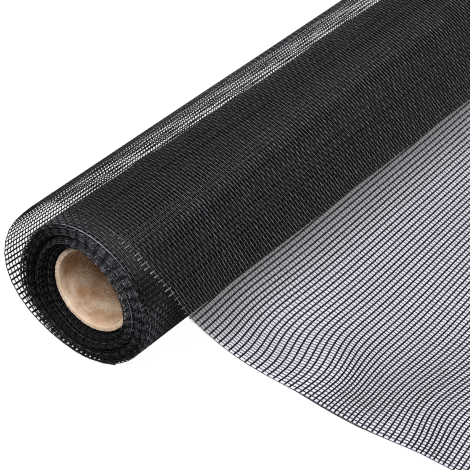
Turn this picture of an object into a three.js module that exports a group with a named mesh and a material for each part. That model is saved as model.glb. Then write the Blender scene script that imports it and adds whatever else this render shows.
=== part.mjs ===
// Roll of insect screen: a woven mesh wound on a cardboard core, with one loose end laid out beside it.
// Millimetres, +Z up. The roll's axis runs along Y, its near end faces -Y, and the loose end lies towards +X.

import * as THREE from 'three';

// Cardboard core: a paper tube as long as the screen is wide.
const CORE_LENGTH = 600;
const CORE_OUTER_RADIUS = 15;
const CORE_WALL = 1.75;
const CORE_EDGE_CHAMFER = 0.3;

// Wound screen: all the tight turns as one ring. Its ends slant, because the turns have slid along the core.
const SCREEN_WIDTH = 600;
const WOUND_RADIUS = 25;
const FIT_GAP = 0.3;
const END_SHIFT = -3.75;
const END_SLANT = 2.25;
const END_SLANT_TOWARDS = THREE.MathUtils.degToRad(70);
const FLAT_SPOT_DEPTH = 0.3;

// Groups of turns on the wound ends: share of the depth from core to outside, and how far they stand out.
const TURN_GROUPS = [
  { share: 0.0, proud: 0.2 },
  { share: 0.14, proud: -0.7 },
  { share: 0.32, proud: 0.6 },
  { share: 0.5, proud: -0.5 },
  { share: 0.7, proud: 0.5 },
  { share: 0.88, proud: -0.3 },
  { share: 1.0, proud: 0.0 },
];

// Loose end: a sheet that starts under the roll, goes round the back and over the top, and lies out in front.
const SHEET_THICKNESS = 1;

// Slack turn: angle round the roll from straight below, by way of the back, and the gap to the wound turns.
const SLACK_TURN = [
  { round: -18, gap: 0.3 },
  { round: -6, gap: 0.3 },
  { round: 6, gap: 0.3 },
  { round: 18, gap: 0.35 },
  { round: 30, gap: 0.5 },
  { round: 44, gap: 1.1 },
  { round: 58, gap: 2.8 },
  { round: 70, gap: 4.4 },
  { round: 82, gap: 5.7 },
  { round: 92, gap: 6.7 },
  { round: 103, gap: 7.1 },
  { round: 116, gap: 7.1 },
  { round: 130, gap: 6.9 },
  { round: 146, gap: 6.6 },
  { round: 162, gap: 5.0 },
  { round: 178, gap: 2.7 },
  { round: 193, gap: 1.0 },
  { round: 208, gap: 0.4 },
  { round: 226, gap: 0.4 },
];

// Laid part: distance out from the roll's axis, and clearance under the sheet.
const LAID_RUN = [
  { out: 24.2, clear: 37.8 },
  { out: 34, clear: 28.7 },
  { out: 45, clear: 21.6 },
  { out: 60, clear: 14.9 },
  { out: 80, clear: 9.0 },
  { out: 104, clear: 4.4 },
  { out: 125, clear: 1.5 },
  { out: 146, clear: 0 },
  { out: 156, clear: 0 },
  { out: 183, clear: 0 },
  { out: 210, clear: 0 },
];

// How the slack turn swells and the laid part is drawn back along the roll.
const ALONG_THE_ROLL = [
  { along: 0, swell: 1.0, drawn: 0 },
  { along: 110, swell: 1.05, drawn: 4.3 },
  { along: 230, swell: 1.1, drawn: 8.6 },
  { along: 420, swell: 0.94, drawn: 11 },
  { along: 600, swell: 1.02, drawn: 11.5 },
];

// Distances out from the axis between which the drawing back takes hold.
const DRAWN_FROM = 30;
const DRAWN_FULL_AT = 120;

// The selvage's place along the roll, by length of sheet from its start under the roll.
const SELVAGE_DRIFT = [
  { length: 0, drift: -2 },
  { length: 65, drift: -2 },
  { length: 125, drift: 1.6 },
  { length: 245, drift: 6 },
  { length: 360, drift: 9.5 },
];

// Low soft ridges in the laid part: where the crest lies, half widths each way, and height.
const RIDGES = [
  { out: 67, along: 0, halfOut: 14, halfAlong: 45, lift: 1.2 },
  { out: 117, along: 0, halfOut: 13, halfAlong: 40, lift: 1.3 },
  { out: 96, along: 150, halfOut: 26, halfAlong: 70, lift: 0.9 },
  { out: 110, along: 380, halfOut: 22, halfAlong: 80, lift: 1.2 },
  { out: 84, along: 560, halfOut: 20, halfAlong: 50, lift: 1.3 },
];

// Facets: steps round the roll, along the sheet, and the stations along the roll where sections are set.
const ROUND_STEPS = 56;
const SHEET_STEPS = 84;
const WOUND_STATIONS = [0.01, 0.5, 0.99];
const SHEET_STATIONS = [0, 18, 40, 70, 110, 165, 230, 300, 370, 440, 500, 550, 580, 600];

const WOUND_BORE_RADIUS = CORE_OUTER_RADIUS + FIT_GAP;
const SURFACE_LEVEL = -(WOUND_RADIUS + FIT_GAP + SHEET_THICKNESS - FLAT_SPOT_DEPTH);

// Value of one column of a table at a key, eased between the rows on either side.
function columnAt(table, keyColumn, valueColumn, key) {
  const last = table.length - 1;
  if (key <= table[0][keyColumn]) return table[0][valueColumn];
  if (key >= table[last][keyColumn]) return table[last][valueColumn];
  const next = table.findIndex((row) => row[keyColumn] > key);
  const before = table[next - 1];
  const after = table[next];
  const share = THREE.MathUtils.smoothstep(key, before[keyColumn], after[keyColumn]);
  return THREE.MathUtils.lerp(before[valueColumn], after[valueColumn], share);
}

// Triangle indices for a grid of points, rows by columns, each way either open or closed on itself.
function gridIndices(rows, columns, rowsClose, columnsClose) {
  const indices = [];
  const rowSpans = rowsClose ? rows : rows - 1;
  const columnSpans = columnsClose ? columns : columns - 1;
  for (let row = 0; row < rowSpans; row += 1) {
    for (let column = 0; column < columnSpans; column += 1) {
      const nextRow = (row + 1) % rows;
      const nextColumn = (column + 1) % columns;
      const a = row * columns + column;
      const b = row * columns + nextColumn;
      const c = nextRow * columns + nextColumn;
      const d = nextRow * columns + column;
      indices.push(a, b, c, a, c, d);
    }
  }
  return indices;
}

function meshGeometry(points, indices) {
  const geometry = new THREE.BufferGeometry();
  const flat = points.flatMap((point) => [point.x, point.y, point.z]);
  geometry.setAttribute('position', new THREE.Float32BufferAttribute(flat, 3));
  geometry.setIndex(indices);
  geometry.computeVertexNormals();
  return geometry;
}

function namedMesh(name, geometry, colour, roughness) {
  const material = new THREE.MeshStandardMaterial({ color: colour, roughness, metalness: 0 });
  const mesh = new THREE.Mesh(geometry, material);
  mesh.name = name;
  return mesh;
}

// Core: a tube turned about the roll's axis, with its cut edges just broken.
function coreGeometry() {
  const outer = CORE_OUTER_RADIUS;
  const bore = CORE_OUTER_RADIUS - CORE_WALL;
  const edge = CORE_EDGE_CHAMFER;
  const section = [
    [bore + edge, 0],
    [outer - edge, 0],
    [outer, edge],
    [outer, CORE_LENGTH - edge],
    [outer - edge, CORE_LENGTH],
    [bore + edge, CORE_LENGTH],
    [bore, CORE_LENGTH - edge],
    [bore, edge],
    [bore + edge, 0],
  ];
  return new THREE.LatheGeometry(section.map(([radius, y]) => new THREE.Vector2(radius, y)), ROUND_STEPS);
}

// Wound turns: one section of the ring, from the bore at the near end round to the bore again.
function woundSection() {
  const depthAt = (share) => THREE.MathUtils.lerp(WOUND_BORE_RADIUS, WOUND_RADIUS, share);
  const near = TURN_GROUPS.map(({ share, proud }) => ({ radius: depthAt(share), width: 0, proud: -proud }));
  const outside = WOUND_STATIONS.map((width) => ({ radius: WOUND_RADIUS, width, proud: 0 }));
  const far = TURN_GROUPS.map(({ share, proud }) => ({ radius: depthAt(share), width: 1, proud: -proud }));
  return [...near, ...outside, ...far.reverse()];
}

// The ring follows its section round the axis. Both ends slant alike, and the lowest turns are pressed flat.
function woundGeometry() {
  const section = woundSection();
  const lowest = -(WOUND_RADIUS - FLAT_SPOT_DEPTH);
  const points = [];
  for (let step = 0; step < ROUND_STEPS; step += 1) {
    const angle = (step / ROUND_STEPS) * 2 * Math.PI;
    const slide = END_SHIFT - END_SLANT * Math.cos(angle - END_SLANT_TOWARDS);
    for (const { radius, width, proud } of section) {
      const y = slide + proud + width * SCREEN_WIDTH;
      const z = Math.max(radius * Math.sin(angle), lowest);
      points.push(new THREE.Vector3(radius * Math.cos(angle), y, z));
    }
  }
  return meshGeometry(points, gridIndices(ROUND_STEPS, section.length, true, true));
}

// Middle of the loose sheet at one station along the roll, as a smooth curve in the plane across the roll.
function sheetCurve(along) {
  const swell = columnAt(ALONG_THE_ROLL, 'along', 'swell', along);
  const drawn = columnAt(ALONG_THE_ROLL, 'along', 'drawn', along);
  const turn = SLACK_TURN.map(({ round, gap }) => {
    const slack = FIT_GAP + (gap - FIT_GAP) * swell;
    const radius = WOUND_RADIUS + slack + SHEET_THICKNESS / 2;
    const angle = THREE.MathUtils.degToRad(round);
    return new THREE.Vector3(-radius * Math.sin(angle), 0, -radius * Math.cos(angle));
  });
  const laid = LAID_RUN.map(({ out, clear }) => {
    const pulled = drawn * THREE.MathUtils.smoothstep(out, DRAWN_FROM, DRAWN_FULL_AT);
    return new THREE.Vector3(out - pulled, 0, SURFACE_LEVEL + SHEET_THICKNESS / 2 + clear);
  });
  return new THREE.CatmullRomCurve3([...turn, ...laid], false, 'centripetal');
}

function ridgeLift(out, along) {
  const lifts = RIDGES.map((ridge) => {
    const across = (out - ridge.out) / ridge.halfOut;
    const down = (along - ridge.along) / ridge.halfAlong;
    return ridge.lift * Math.exp(-across * across - down * down);
  });
  return lifts.reduce((sum, lift) => sum + lift, 0);
}

// One row of the sheet: its two faces, half a thickness either side of the curve, and its drift along the roll.
function sheetRow(along) {
  const curve = sheetCurve(along);
  const length = curve.getLength();
  const middle = curve.getSpacedPoints(SHEET_STEPS);
  const lowest = SURFACE_LEVEL + SHEET_THICKNESS / 2;
  middle.forEach((point, step) => {
    point.z = Math.max(point.z + ridgeLift(point.x, along), lowest);
    point.y = along + columnAt(SELVAGE_DRIFT, 'length', 'drift', (step / SHEET_STEPS) * length);
  });
  const faces = middle.map((point, step) => {
    const before = middle[Math.max(step - 1, 0)];
    const after = middle[Math.min(step + 1, SHEET_STEPS)];
    const outward = new THREE.Vector3(before.z - after.z, 0, after.x - before.x).normalize();
    const half = outward.multiplyScalar(SHEET_THICKNESS / 2);
    return { outer: point.clone().add(half), inner: point.clone().sub(half) };
  });
  const outer = faces.map((face) => face.outer);
  const inner = faces.map((face) => face.inner);
  return [...outer, ...inner.reverse()];
}

// Loose sheet: rows from selvage to selvage, each a closed loop of both faces, capped at the two selvages.
function looseGeometry() {
  const loops = SHEET_STATIONS.map(sheetRow);
  const loopSize = loops[0].length;
  const indices = gridIndices(loops.length, loopSize, false, true);
  const lastRow = (loops.length - 1) * loopSize;
  for (let step = 0; step < SHEET_STEPS; step += 1) {
    const inner = loopSize - 1 - step;
    indices.push(step, inner - 1, step + 1, step, inner, inner - 1);
    indices.push(lastRow + step, lastRow + step + 1, lastRow + inner - 1);
    indices.push(lastRow + step, lastRow + inner - 1, lastRow + inner);
  }
  return meshGeometry(loops.flat(), indices);
}

// The origin is under the middle of the part, on the surface that it lies on.
function assembleRoll() {
  const roll = new THREE.Group();
  roll.add(namedMesh('core', coreGeometry(), '#b08a62', 0.9));
  roll.add(namedMesh('wound_screen', woundGeometry(), '#1b1b1d', 0.55));
  roll.add(namedMesh('loose_screen', looseGeometry(), '#262628', 0.5));
  const box = new THREE.Box3().setFromObject(roll);
  const middle = box.getCenter(new THREE.Vector3());
  roll.position.set(-middle.x, -middle.y, -box.min.z);
  roll.updateMatrixWorld(true);
  return roll;
}

export default assembleRoll();
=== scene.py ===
"""Looks of a roll of insect screen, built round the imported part.

The screen is black woven mesh on a paperboard core. Its last turn is slack, and its loose end is laid out
flat. Shapes are worked out in millimetres from the core's near end, on the roll's axis: x towards the laid
end, y along the roll, z up. Place turns them into the part's own frame, in metres. A length of sheet is
counted along the loose end's own curve, from where it starts under the roll.
"""

import sys
import logging
import math
from dataclasses import dataclass, field, fields, replace
from enum import Enum
from typing import Any, Optional, Sequence, Union

import bpy
import numpy as np
from mathutils import Matrix, Vector


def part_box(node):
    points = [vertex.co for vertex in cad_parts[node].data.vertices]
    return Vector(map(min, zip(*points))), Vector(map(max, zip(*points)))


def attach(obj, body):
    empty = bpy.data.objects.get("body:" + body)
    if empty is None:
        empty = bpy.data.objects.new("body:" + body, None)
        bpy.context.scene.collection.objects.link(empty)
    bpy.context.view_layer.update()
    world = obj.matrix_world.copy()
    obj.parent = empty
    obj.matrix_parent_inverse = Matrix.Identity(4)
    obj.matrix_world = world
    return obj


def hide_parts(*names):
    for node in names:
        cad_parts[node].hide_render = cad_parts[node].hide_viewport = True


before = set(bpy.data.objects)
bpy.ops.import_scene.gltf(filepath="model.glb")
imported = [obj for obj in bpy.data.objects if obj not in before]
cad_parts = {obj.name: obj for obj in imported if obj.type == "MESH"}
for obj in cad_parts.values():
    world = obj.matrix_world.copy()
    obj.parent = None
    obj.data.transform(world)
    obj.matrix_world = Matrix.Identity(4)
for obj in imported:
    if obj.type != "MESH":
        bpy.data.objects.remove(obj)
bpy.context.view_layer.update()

LOG = logging.getLogger("insect_screen_roll")
Array = np.ndarray
Span = tuple[float, float]

MM = 0.001
MM_PER_INCH = 25.4
BODY = "root"
THREAD_MAP = "thread_map"
# A point's tone: wear of the yarn, and painted sheen, glints and shade besides. On the core it marks the pale
# cut rim.
WEAR_AND_PAINTED_LIGHT = "wear_and_painted_light"

# Common insect screen has 18 warp and 14 weft threads to the inch.
WARP_PITCH = MM_PER_INCH / 18
WEFT_PITCH = MM_PER_INCH / 14
SCREEN_WIDTH = 600.0
WARPS = round(SCREEN_WIDTH / WARP_PITCH)
WOUND_RADIUS = 25.0
WOUND_BORE = 15.3
FIT_GAP = 0.3
SHEET_HALF = 0.5
FLOOR_LEVEL = -26.0

# A thread's section is a triangle.
SIDES = 3

# The Mix node's colour sockets go by number, because its other sockets have the same names.
MIX_A = 6
MIX_B = 7
COLOUR_MIX = {"gives": 2, "data_type": "RGBA"}
SMOOTH = {"interpolation_type": "SMOOTHSTEP"}


class Slot(Enum):
    """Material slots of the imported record."""

    CARDBOARD = "cardboard"
    SCREEN = "screen_mesh"


class RollEnd(Enum):
    """The two ends of the roll: the share of the screen's width where each lies."""

    NEAR = 0.0
    FAR = 1.0


def linear(hex_colour: str) -> tuple[float, float, float, float]:
    """Turns an sRGB hex colour into linear light.

    Args:
        hex_colour: six hex digits after a hash sign.

    Returns:
        Red, green, blue and an alpha of 1.
    """
    parts = np.array([int(hex_colour[i : i + 2], 16) for i in (1, 3, 5)]) / 255
    light = np.where(parts <= 0.04045, parts / 12.92, ((parts + 0.055) / 1.055) ** 2.4)
    return (*(float(part) for part in light), 1.0)


def table(*rows: tuple[float, ...]) -> Any:
    """Makes the default of a dataclass field that holds a table of these rows."""
    return field(default_factory=lambda: np.array(rows, float))


def stepped(stops: Sequence[float], steps: Sequence[int]) -> Array:
    """Goes from each stop to the next in so many even steps."""
    return np.interp(np.arange(sum(steps) + 1), np.cumsum([0, *steps]), stops)


def smoothstep(value: Array, low: Union[Array, float], high: Union[Array, float]) -> Array:
    """Rises from 0 at low to 1 at high as 3t squared less 2t cubed."""
    share = np.clip((np.asarray(value, float) - low) / (high - low), 0.0, 1.0)
    return share * share * (3 - 2 * share)


def eased(rows: Array, key: Array, column: int = 1) -> Array:
    """Reads a table at any keys, eased from row to row.

    Between two rows the value goes from one to the other by smoothstep of the key. Outside them it stays.

    Args:
        rows: the table, with its keys in column 0, rising.
        key: keys of any shape.
        column: the column to read.

    Returns:
        Values of the same shape as key.
    """
    keys, values = rows[:, 0], rows[:, column]
    upper = np.clip(np.searchsorted(keys, key, side="right"), 1, len(keys) - 1)
    share = smoothstep(key, keys[upper - 1], keys[upper])
    return values[upper - 1] + (values[upper] - values[upper - 1]) * share


def unit(vectors: Array) -> Array:
    """Scales vectors, along the last axis, to length 1."""
    return vectors / np.maximum(np.linalg.norm(vectors, axis=-1, keepdims=True), 1e-12)


@dataclass(frozen=True)
class Lobe:
    """An amount that is most towards one angle, in degrees, and nothing a quarter turn away from it."""

    most: float
    towards: float
    power: int

    def at(self, angle: Array) -> Array:
        """The amount at any angles, which falls off as a power of the cosine."""
        return self.most * np.clip(np.cos(angle - math.radians(self.towards)), 0, 1) ** self.power


@dataclass(frozen=True)
class Wave:
    """An amount that goes up and down round the roll, and is most towards one angle, in degrees."""

    most: float
    towards: float
    times: int = 1

    def at(self, angle: Array) -> Array:
        """The amount at any angles, by the cosine of so many times the angle."""
        return self.most * np.cos(self.times * (angle - math.radians(self.towards)))


@dataclass(frozen=True)
class Place:
    """Where the core's near end lies in the part's frame, in millimetres."""

    x: float
    y: float
    z: float

    @classmethod
    def of_core(cls) -> "Place":
        """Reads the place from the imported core's box."""
        low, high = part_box("core")
        return cls((low.x + high.x) / (2 * MM), low.y / MM, (low.z + high.z) / (2 * MM))

    def metres(self, points: Array) -> Array:
        """Moves points from the roll's own millimetres to the part's frame, in metres."""
        return (points + np.array([self.x, self.y, self.z])) * MM


@dataclass
class Shell:
    """Points, faces, face-corner map and tone of one piece, before it is a mesh."""

    points: Array
    quads: Array
    quad_map: Array
    tone: Array
    triangles: Array = field(default_factory=lambda: np.zeros((0, 3), int))
    triangle_map: Array = field(default_factory=lambda: np.zeros((0, 3, 2)))

    @classmethod
    def on_grids(cls, points: Array, map_points: Array, rows_close: bool = True) -> "Shell":
        """Joins grids of points into faces, with the last column of each grid meeting its first.

        Args:
            points: grids by rows by columns by 3, with outward on the side of columns crossed with rows.
            map_points: map places, with a column more than the points, and a row more where rows close.
            rows_close: whether each grid's last row meets its first.

        Returns:
            All grids as one shell, of a middling tone.
        """
        grids, rows, columns, _ = points.shape
        grid = np.arange(grids)[:, None, None]
        row = np.arange(rows if rows_close else rows - 1)[:, None]
        column = np.arange(columns)
        corners = ((row, column), (row, column + 1), (row + 1, column + 1), (row + 1, column))
        quads = np.stack([(grid * rows + r % rows) * columns + c % columns for r, c in corners], axis=-1)
        mapped = np.stack([map_points[grid, r, c] for r, c in corners], axis=-2)
        flat = points.reshape(-1, 3)
        return cls(flat, quads.reshape(-1, 4), mapped.reshape(-1, 4, 2), np.full(len(flat), 0.5))

    @classmethod
    def joined(cls, shells: Sequence["Shell"]) -> "Shell":
        """Puts several shells into one, with their point numbers moved on.

        Args:
            shells: the shells to join, in order.

        Returns:
            One shell with all their points and faces.
        """
        starts = np.cumsum([0] + [len(shell.points) for shell in shells[:-1]])
        moved = [
            replace(shell, quads=shell.quads + start, triangles=shell.triangles + start)
            for shell, start in zip(shells, starts)
        ]
        return cls(*(np.concatenate([getattr(shell, part.name) for shell in moved]) for part in fields(cls)))

    def to_object(self, name: str, place: Place, material: bpy.types.Material) -> bpy.types.Object:
        """Makes the mesh object, in metres at the origin, smooth and with its map and tone.

        Args:
            name: name of the piece.
            place: where the roll lies.
            material: its one material.

        Returns:
            The new object, linked to the scene.
        """
        mesh = bpy.data.meshes.new(name)
        corners = np.concatenate([self.quads.ravel(), self.triangles.ravel()])
        sizes = np.repeat([4, 3], [len(self.quads), len(self.triangles)])
        mapped = np.concatenate([self.quad_map.reshape(-1, 2), self.triangle_map.reshape(-1, 2)])
        mesh.vertices.add(len(self.points))
        mesh.loops.add(len(corners))
        mesh.polygons.add(len(sizes))
        mesh.vertices.foreach_set("co", place.metres(self.points).astype(np.float32).ravel())
        mesh.loops.foreach_set("vertex_index", corners.astype(np.int32))
        mesh.polygons.foreach_set("loop_start", (np.cumsum(sizes) - sizes).astype(np.int32))
        mesh.polygons.foreach_set("use_smooth", np.ones(len(sizes), bool))
        layer = mesh.uv_layers.new(name=THREAD_MAP)
        layer.uv.foreach_set("vector", mapped.astype(np.float32).ravel())
        tone = mesh.attributes.new(WEAR_AND_PAINTED_LIGHT, "FLOAT", "POINT")
        tone.data.foreach_set("value", self.tone.astype(np.float32))
        mesh.update(calc_edges=True)
        mesh.materials.append(material)
        made = bpy.data.objects.new(name, mesh)
        bpy.context.scene.collection.objects.link(made)
        return made


@dataclass(frozen=True)
class Yarn:
    """Section of one thread: half its width and half its height."""

    half_width: float
    half_height: float

    def tubes(
        self,
        paths: Array,
        outward: Array,
        crossings: Array,
        tone: Array,
        closed: bool = False,
        capped: bool = True,
        swell: Array = np.ones((1, 1)),
    ) -> Shell:
        """Carries the thread's section along many paths at once.

        At each path point the section's corners lie at the path, plus cosine of the corner's angle times half
        the width to the side, plus its sine times half the height outward. The side is the cross product of
        outward and the path's own direction.

        Args:
            paths: threads by points by 3, in millimetres.
            outward: the sheet's outer side at those points.
            crossings: threads by points, plus one when closed: how many threads have been crossed so far.
            tone: threads by points, or by 1: how far the coating is worn grey, which is also painted
            sheen, from 0 to 1. Past 1 it is worn off, and below 0 the thread is painted in shade, as if
            other threads shaded it.
            closed: whether each path is a ring.
            capped: whether open ends are closed by a face.
            swell: threads by points, or by 1: how many times the section's size.

        Returns:
            All threads as one shell.
        """
        threads, points, _ = paths.shape
        ahead = unit(np.roll(paths, -1, 1) - np.roll(paths, 1, 1) if closed else np.gradient(paths, axis=1))
        side = unit(np.cross(outward, ahead))
        out = np.cross(ahead, side)
        angle = 2 * np.pi * np.arange(SIDES)[:, None] / SIDES + np.pi / 2
        across = self.half_width * np.cos(angle) * side[:, :, None]
        above = self.half_height * np.sin(angle) * out[:, :, None]
        rings = paths[:, :, None] + swell[:, :, None, None] * (across + above)
        around = np.linspace(0, 1, SIDES + 1)
        mapped = np.stack(np.broadcast_arrays(crossings[:, :, None], around), axis=-1)
        made = Shell.on_grids(rings, mapped, closed)
        made.tone = np.repeat(np.broadcast_to(tone, (threads, points)).ravel(), SIDES)
        if capped and not closed:
            first = np.arange(threads)[:, None] * points * SIDES + np.arange(SIDES)
            made.triangles = np.concatenate([first[:, ::-1], first + (points - 1) * SIDES])
            ends = np.concatenate([crossings[:, :1], crossings[:, -1:]])
            made.triangle_map = np.stack(np.broadcast_arrays(ends, np.full(SIDES, 0.5)), axis=-1)
        return made


def add_node(
    tree: bpy.types.NodeTree,
    kind: str,
    inputs: Union[Sequence[Any], dict[Any, Any]] = (),
    gives: Union[int, str] = 0,
    **settings: Any,
) -> Optional[bpy.types.NodeSocket]:
    """Adds one node with its settings, and with its inputs linked or set.

    Args:
        tree: the nodes of a material or of the world.
        kind: Blender's name for the kind of node, less ShaderNode in front.
        inputs: another node's socket to link or a plain value for each socket, in order or by name or number.
        gives: name or number of the output to return.
        **settings: the node's own settings.

    Returns:
        That output, or None for a node that has none.
    """
    made = tree.nodes.new("ShaderNode" + kind)
    for name, value in settings.items():
        setattr(made, name, value)
    for socket, value in inputs.items() if isinstance(inputs, dict) else enumerate(inputs):
        if isinstance(value, bpy.types.NodeSocket):
            tree.links.new(value, made.inputs[socket])
        else:
            made.inputs[socket].default_value = value
    return made.outputs[gives] if made.outputs else None


class Finish:
    """A finish, which becomes one material. Each kind says what it looks like."""

    name: str

    def look(self, tree: bpy.types.NodeTree) -> dict[str, Any]:
        """Adds the finish's nodes to an empty tree, and returns what its shader's inputs get."""
        raise NotImplementedError

    def material(self) -> bpy.types.Material:
        """Builds the material.

        Returns:
            The new material, one shader with the finish's look.
        """
        made = bpy.data.materials.new(self.name)
        made.use_nodes = True
        made.node_tree.nodes.clear()
        shader = add_node(made.node_tree, "BsdfPrincipled", self.look(made.node_tree))
        add_node(made.node_tree, "OutputMaterial", {"Surface": shader})
        return made


@dataclass(frozen=True)
class PvcCoatedYarn(Finish):
    """PVC-coated fibreglass yarn, woven and heat set.

    The black coating is smooth and satin, so a thread shows a thin soft gleam along its length. The gleam
    breaks at every second crossing, where the thread dips under another. Crowns are worn grey, and that
    grey is also painted sheen for the gleam's dashes. At cut ends the coating is off and the pale glass
    shows.
    """

    name: str = "pvc_coated_fibreglass_yarn"
    colour: str = "#070709"
    # Worn grey of the crowns, which is also painted sheen.
    rubbed_and_sheen: str = "#6e6f75"
    glass: str = "#a3a4a8"
    roughness: Span = (0.34, 0.5)
    ior: float = 1.53
    specular: float = 0.8
    crimp_height: float = 0.22
    speck_size: float = 0.9
    speck_detail: float = 2.0
    # Specks of noise between these values go from hardly worn to worn grey with painted sheen, and from
    # smooth to rough.
    rub_and_sheen_specks: Span = (0.35, 0.65)
    least_rub_and_sheen: float = 0.15
    rough_specks: Span = (0.3, 0.7)

    def look(self, tree: bpy.types.NodeTree) -> dict[str, Any]:
        """Satin black, with its gleam, worn grey crowns that are also painted sheen, and bare ends.

        The thread map's first number counts crossings, so the crimp is a half plus half the cosine of pi
        times it. The tone says how far the crowns are worn grey, which is also painted sheen. What it has
        past 1 is how far the coating is off, which also paints glints, and what it has below 0 is painted
        shade, as if the thread lay in other threads' shade, and takes its gleam away.

        Args:
            tree: the material's nodes.

        Returns:
            The shader's inputs.
        """
        place = add_node(tree, "UVMap", uv_map=THREAD_MAP)
        crossed = add_node(tree, "SeparateXYZ", [place])
        turn = add_node(tree, "Math", [crossed, math.pi], operation="MULTIPLY")
        wave = add_node(tree, "Math", [turn], operation="COSINE")
        crown = add_node(tree, "Math", [wave, 0.5, 0.5], operation="MULTIPLY_ADD")
        where = add_node(tree, "TexCoord", gives="Object")
        grain = {"Vector": where, "Scale": 1 / (self.speck_size * MM), "Detail": self.speck_detail}
        speck = add_node(tree, "TexNoise", grain)
        patchy = add_node(tree, "MapRange", [speck, *self.rub_and_sheen_specks, self.least_rub_and_sheen, 1.0])
        tone = add_node(tree, "Attribute", gives="Fac", attribute_name=WEAR_AND_PAINTED_LIGHT)
        # Worn grey on the crowns, which also paints the gleam's dashes.
        rub_and_sheen = add_node(tree, "Math", [crown, patchy], operation="MULTIPLY")
        worn = add_node(tree, "Math", [rub_and_sheen, tone], operation="MULTIPLY", use_clamp=True)
        rubbing_and_sheen = {0: worn, MIX_A: linear(self.colour), MIX_B: linear(self.rubbed_and_sheen)}
        coat = add_node(tree, "Mix", rubbing_and_sheen, **COLOUR_MIX)
        bare = add_node(tree, "MapRange", [tone, 1.0, 2.0, 0.0, 1.0])
        colour = add_node(tree, "Mix", {0: bare, MIX_A: coat, MIX_B: linear(self.glass)}, **COLOUR_MIX)
        crimp = {"Height": crown, "Strength": 1.0, "Distance": self.crimp_height * MM}
        return {
            "Base Color": colour,
            "Roughness": add_node(tree, "MapRange", [speck, *self.rough_specks, *self.roughness]),
            "Normal": add_node(tree, "Bump", crimp),
            "IOR": self.ior,
            "Specular IOR Level": add_node(tree, "MapRange", [tone, -1.0, 0.0, 0.0, self.specular]),
        }


@dataclass(frozen=True)
class PackedTurns(Finish):
    """Packed turns of the same mesh, seen through the gaps of the turns that lie on them.

    Light is lost between the layers, so it is almost black, with a faint lattice of the threads below.
    """

    name: str = "packed_turns_of_black_mesh"
    colour: str = "#0b0b0e"
    thread: str = "#1d1d21"
    roughness: float = 0.6
    specular: float = 0.3
    # Share of the pitch from a thread's middle to its side, and its height.
    thread_share: float = 0.22
    thread_height: float = 0.25

    def look(self, tree: bpy.types.NodeTree) -> dict[str, Any]:
        """Near black, with a faint lattice.

        The map counts warp pitches and weft pitches. A thread shows where the distance to the nearest whole
        number of either is small.

        Args:
            tree: the material's nodes.

        Returns:
            The shader's inputs.
        """
        place = add_node(tree, "UVMap", uv_map=THREAD_MAP)
        pitches = add_node(tree, "SeparateXYZ", [place]).node.outputs
        lines = []
        for axis in ("X", "Y"):
            away = add_node(tree, "Math", [pitches[axis], 0.5], operation="PINGPONG")
            lines.append(add_node(tree, "MapRange", [away, 0.0, self.thread_share, 1.0, 0.0]))
        thread = add_node(tree, "Math", lines, operation="MAXIMUM")
        lattice = {0: thread, MIX_A: linear(self.colour), MIX_B: linear(self.thread)}
        relief = {"Height": thread, "Strength": 1.0, "Distance": self.thread_height * MM}
        return {
            "Base Color": add_node(tree, "Mix", lattice, **COLOUR_MIX),
            "Roughness": self.roughness,
            "Normal": add_node(tree, "Bump", relief),
            "Specular IOR Level": self.specular,
        }


@dataclass(frozen=True)
class PaperSpots:
    """One kind of spot in paperboard.

    It has its size, the detail and grain of its noise, the noise values at which it starts and is full, how
    strong it then is, and its colour.
    """

    size: float
    detail: float
    grain: float
    starts: float
    full: float
    strength: float
    colour: str


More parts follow.
